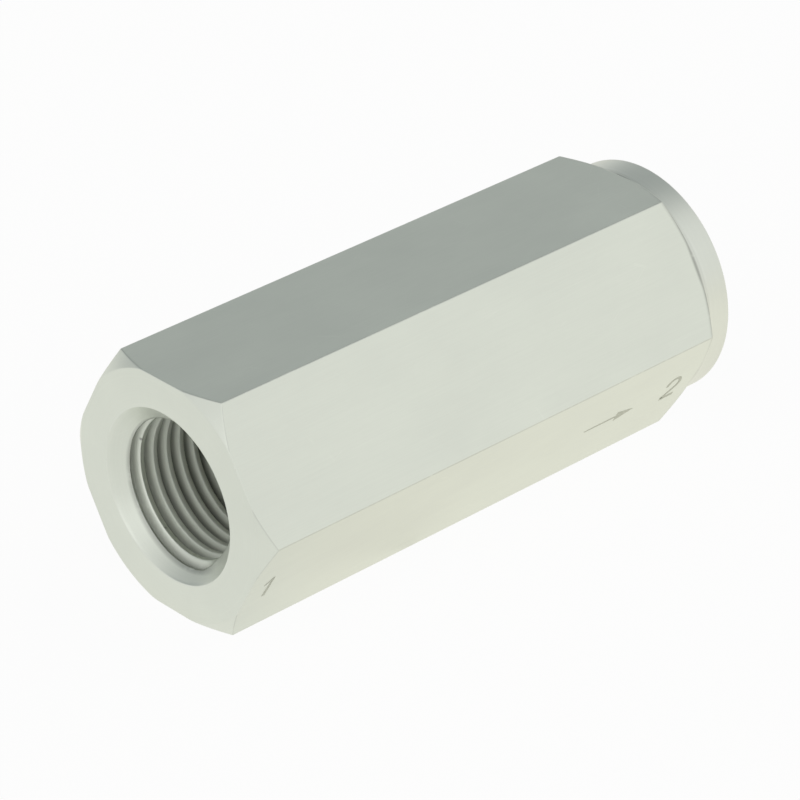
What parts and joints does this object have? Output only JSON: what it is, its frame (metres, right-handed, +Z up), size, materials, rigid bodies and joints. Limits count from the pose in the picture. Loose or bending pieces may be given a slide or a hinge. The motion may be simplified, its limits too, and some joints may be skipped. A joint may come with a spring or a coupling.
{
  "type": "in-line non-return valve",
  "caption": "In-line non-return valve: hexagon body with a female pipe thread at each end, a screwed-in round outlet cap, and a sprung poppet that lets air through one way.",
  "frame": {"origin": "centre of the bounding box, on the bore axis halfway between the two end faces", "axes": "+X along the bore axis in the flow direction, from port 1 to port 2; +Z up, square to the flat that the valve lies on"},
  "size_m": [0.0518, 0.0238, 0.0206],
  "materials": {
    "body_aluminium": "satin natural anodised, drawn bar",
    "cap_aluminium": "satin natural anodised, turned",
    "ring_rubber": "moulded nitrile",
    "guide_plastic": "moulded acetal",
    "poppet_brass": "turned",
    "screw_brass": "turned",
    "seal_rubber": "moulded nitrile",
    "spring_steel": "drawn stainless wire"
  },
  "bodies": {
    "housing": {"valve_body": "body_aluminium", "outlet_cap": "cap_aluminium", "cap_seal_ring": "ring_rubber", "poppet_guide": "guide_plastic", "return_spring": "spring_steel"},
    "poppet_group": {"poppet": "poppet_brass", "seal_disc": "seal_rubber", "clamp_screw": "screw_brass"}
  },
  "joints": [
    {"name": "poppet_lift", "type": "slide", "parent": "housing", "child": "poppet_group", "axis": [1, 0, 0], "range_m": [0, 0.003], "stiffness_N_per_m": 600, "springref_m": -0.0023, "deforming": ["return_spring"]}
  ]
}
